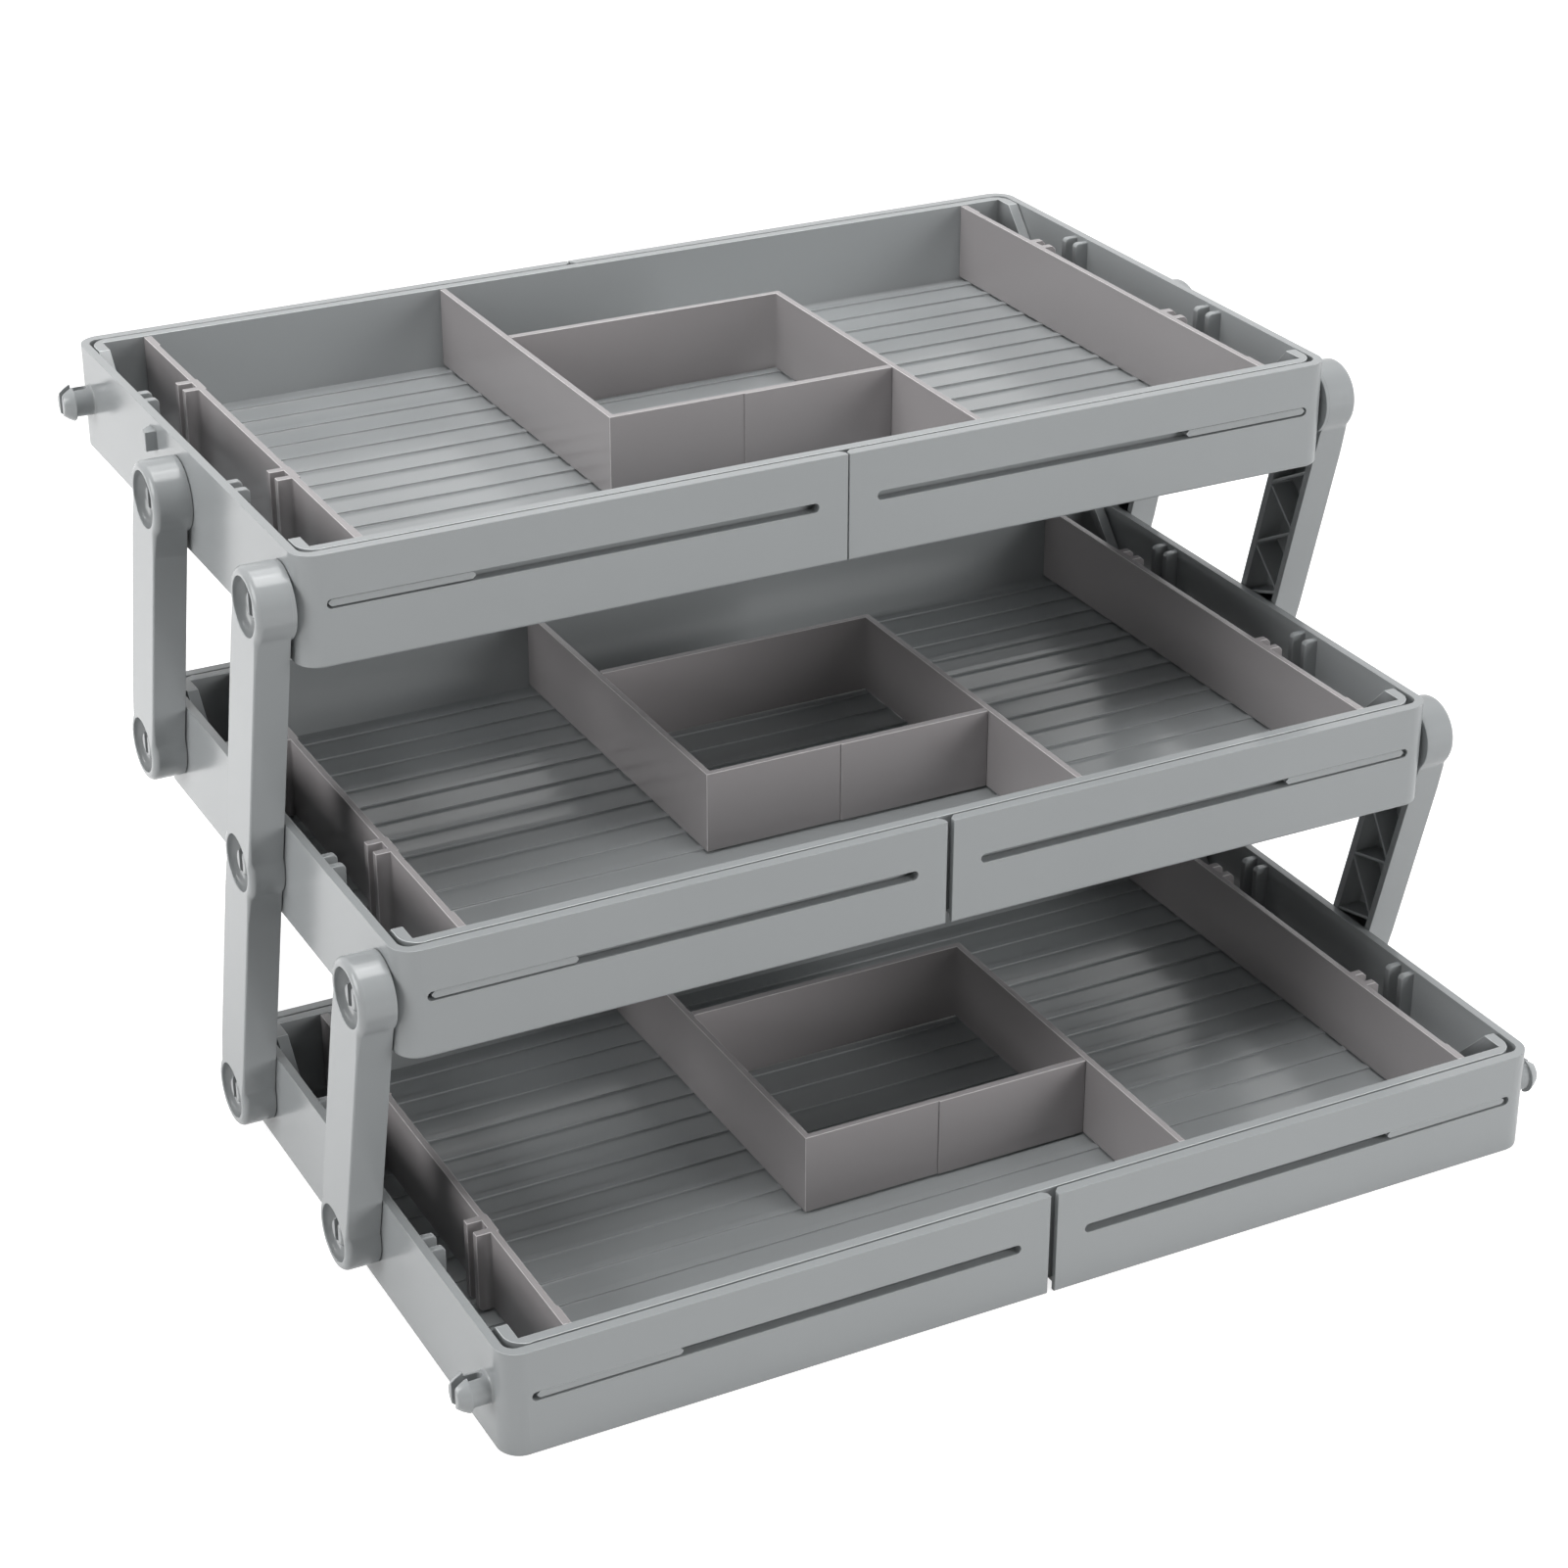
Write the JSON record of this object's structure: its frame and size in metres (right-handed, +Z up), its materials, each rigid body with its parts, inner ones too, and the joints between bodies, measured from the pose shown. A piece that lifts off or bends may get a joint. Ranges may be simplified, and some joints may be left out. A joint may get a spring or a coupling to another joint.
{
  "type": "expandable drawer organizer",
  "caption": "Tiered cantilever organizer with ribbed trays that widen by sliding end sleeves, with movable dividers and pivoting side links.",
  "frame": {"origin": "on the plane that the part stands on, under the middle tray's centre, which is the centre of the whole part's box seen from above", "axes": "+X along the trays, +Y to the back, which is where the upper tiers step to, +Z up"},
  "size_m": [0.3596, 0.3226, 0.213],
  "materials": {
    "body": "satin moulded",
    "divider": "smooth moulded"
  },
  "bodies": {
    "bottom_tray": {"bottom_tray": "body"},
    "bottom_left_sleeve": {"bottom_left_sleeve": "body"},
    "bottom_right_sleeve": {"bottom_right_sleeve": "body"},
    "bottom_left_divider": {"bottom_left_divider": "divider"},
    "bottom_right_divider": {"bottom_right_divider": "divider"},
    "bottom_left_angle_divider": {"bottom_left_angle_divider": "divider"},
    "bottom_right_angle_divider": {"bottom_right_angle_divider": "divider"},
    "middle_tray": {"middle_tray": "body"},
    "middle_left_sleeve": {"middle_left_sleeve": "body"},
    "middle_right_sleeve": {"middle_right_sleeve": "body"},
    "middle_left_divider": {"middle_left_divider": "divider"},
    "middle_right_divider": {"middle_right_divider": "divider"},
    "middle_left_angle_divider": {"middle_left_angle_divider": "divider"},
    "middle_right_angle_divider": {"middle_right_angle_divider": "divider"},
    "top_tray": {"top_tray": "body"},
    "top_left_sleeve": {"top_left_sleeve": "body"},
    "top_right_sleeve": {"top_right_sleeve": "body"},
    "top_left_divider": {"top_left_divider": "divider"},
    "top_right_divider": {"top_right_divider": "divider"},
    "top_left_angle_divider": {"top_left_angle_divider": "divider"},
    "top_right_angle_divider": {"top_right_angle_divider": "divider"},
    "left_long_link": {"left_long_link": "body"},
    "left_lower_short_link": {"left_lower_short_link": "body"},
    "left_upper_short_link": {"left_upper_short_link": "body"},
    "right_long_link": {"right_long_link": "body"},
    "right_lower_short_link": {"right_lower_short_link": "body"},
    "right_upper_short_link": {"right_upper_short_link": "body"}
  },
  "joints": [
    {"name": "left_extend", "type": "slide", "parent": "bottom_tray", "child": "bottom_left_sleeve", "axis": [-1, 0, 0], "range_m": [0, 0.105]},
    {"name": "right_extend", "type": "slide", "parent": "bottom_tray", "child": "bottom_right_sleeve", "axis": [1, 0, 0], "range_m": [0, 0.105]},
    {"name": "fold", "type": "hinge", "parent": "bottom_left_sleeve", "child": "left_long_link", "pos_m": [0, 0.02373, 0.0173], "axis": [1, 0, 0], "range_deg": [0, 53.75]},
    {"name": "middle_left_level", "type": "hinge", "parent": "left_long_link", "child": "middle_left_sleeve", "pos_m": [0, 0, 0.10712], "axis": [1, 0, 0], "range_deg": [-53.75, 0]},
    {"name": "top_left_level", "type": "hinge", "parent": "left_long_link", "child": "top_left_sleeve", "pos_m": [0, -0.02373, 0.19695], "axis": [1, 0, 0], "range_deg": [-53.75, 0]},
    {"name": "left_lower_short_turn", "type": "hinge", "parent": "bottom_left_sleeve", "child": "left_lower_short_link", "pos_m": [0, -0.06277, 0.0173], "axis": [1, 0, 0], "range_deg": [0, 53.75]},
    {"name": "left_upper_short_turn", "type": "hinge", "parent": "middle_left_sleeve", "child": "left_upper_short_link", "pos_m": [0, 0.0865, 0.10712], "axis": [1, 0, 0], "range_deg": [0, 53.75]},
    {"name": "middle_tray_run", "type": "slide", "parent": "middle_left_sleeve", "child": "middle_tray", "axis": [1, 0, 0], "range_m": [0, 0.105]},
    {"name": "top_tray_run", "type": "slide", "parent": "top_left_sleeve", "child": "top_tray", "axis": [1, 0, 0], "range_m": [0, 0.105]},
    {"name": "middle_right_extend", "type": "slide", "parent": "middle_tray", "child": "middle_right_sleeve", "axis": [1, 0, 0], "range_m": [0, 0.105]},
    {"name": "top_right_extend", "type": "slide", "parent": "top_tray", "child": "top_right_sleeve", "axis": [1, 0, 0], "range_m": [0, 0.105]},
    {"name": "right_long_turn", "type": "hinge", "parent": "bottom_right_sleeve", "child": "right_long_link", "pos_m": [0, 0.02373, 0.0173], "axis": [1, 0, 0], "range_deg": [0, 53.75]},
    {"name": "right_lower_short_turn", "type": "hinge", "parent": "bottom_right_sleeve", "child": "right_lower_short_link", "pos_m": [0, -0.06277, 0.0173], "axis": [1, 0, 0], "range_deg": [0, 53.75]},
    {"name": "right_upper_short_turn", "type": "hinge", "parent": "middle_right_sleeve", "child": "right_upper_short_link", "pos_m": [0, 0.0865, 0.10712], "axis": [1, 0, 0], "range_deg": [0, 53.75]},
    {"name": "bottom_left_divider_slide", "type": "slide", "parent": "bottom_tray", "child": "bottom_left_divider", "axis": [-1, 0, 0], "range_m": [-0.048, 0.0075]},
    {"name": "bottom_left_angle_divider_slide", "type": "slide", "parent": "bottom_tray", "child": "bottom_left_angle_divider", "axis": [-1, 0, 0], "range_m": [0, 0.047]},
    {"name": "bottom_right_divider_slide", "type": "slide", "parent": "bottom_tray", "child": "bottom_right_divider", "axis": [1, 0, 0], "range_m": [-0.048, 0.0075]},
    {"name": "bottom_right_angle_divider_slide", "type": "slide", "parent": "bottom_tray", "child": "bottom_right_angle_divider", "axis": [1, 0, 0], "range_m": [0, 0.047]},
    {"name": "middle_left_divider_slide", "type": "slide", "parent": "middle_tray", "child": "middle_left_divider", "axis": [-1, 0, 0], "range_m": [-0.048, 0.0075]},
    {"name": "middle_left_angle_divider_slide", "type": "slide", "parent": "middle_tray", "child": "middle_left_angle_divider", "axis": [-1, 0, 0], "range_m": [0, 0.047]},
    {"name": "middle_right_divider_slide", "type": "slide", "parent": "middle_tray", "child": "middle_right_divider", "axis": [1, 0, 0], "range_m": [-0.048, 0.0075]},
    {"name": "middle_right_angle_divider_slide", "type": "slide", "parent": "middle_tray", "child": "middle_right_angle_divider", "axis": [1, 0, 0], "range_m": [0, 0.047]},
    {"name": "top_left_divider_slide", "type": "slide", "parent": "top_tray", "child": "top_left_divider", "axis": [-1, 0, 0], "range_m": [-0.048, 0.0075]},
    {"name": "top_left_angle_divider_slide", "type": "slide", "parent": "top_tray", "child": "top_left_angle_divider", "axis": [-1, 0, 0], "range_m": [0, 0.047]},
    {"name": "top_right_divider_slide", "type": "slide", "parent": "top_tray", "child": "top_right_divider", "axis": [1, 0, 0], "range_m": [-0.048, 0.0075]},
    {"name": "top_right_angle_divider_slide", "type": "slide", "parent": "top_tray", "child": "top_right_angle_divider", "axis": [1, 0, 0], "range_m": [0, 0.047]}
  ],
  "couplings": [
    {"joint": "middle_left_level", "follows": "fold", "ratio": -1},
    {"joint": "top_left_level", "follows": "fold", "ratio": -1},
    {"joint": "left_lower_short_turn", "follows": "fold", "ratio": 1},
    {"joint": "left_upper_short_turn", "follows": "fold", "ratio": 1},
    {"joint": "right_long_turn", "follows": "fold", "ratio": 1},
    {"joint": "right_lower_short_turn", "follows": "fold", "ratio": 1},
    {"joint": "right_upper_short_turn", "follows": "fold", "ratio": 1},
    {"joint": "middle_tray_run", "follows": "left_extend", "ratio": 1},
    {"joint": "top_tray_run", "follows": "left_extend", "ratio": 1},
    {"joint": "middle_right_extend", "follows": "right_extend", "ratio": 1},
    {"joint": "top_right_extend", "follows": "right_extend", "ratio": 1}
  ]
}
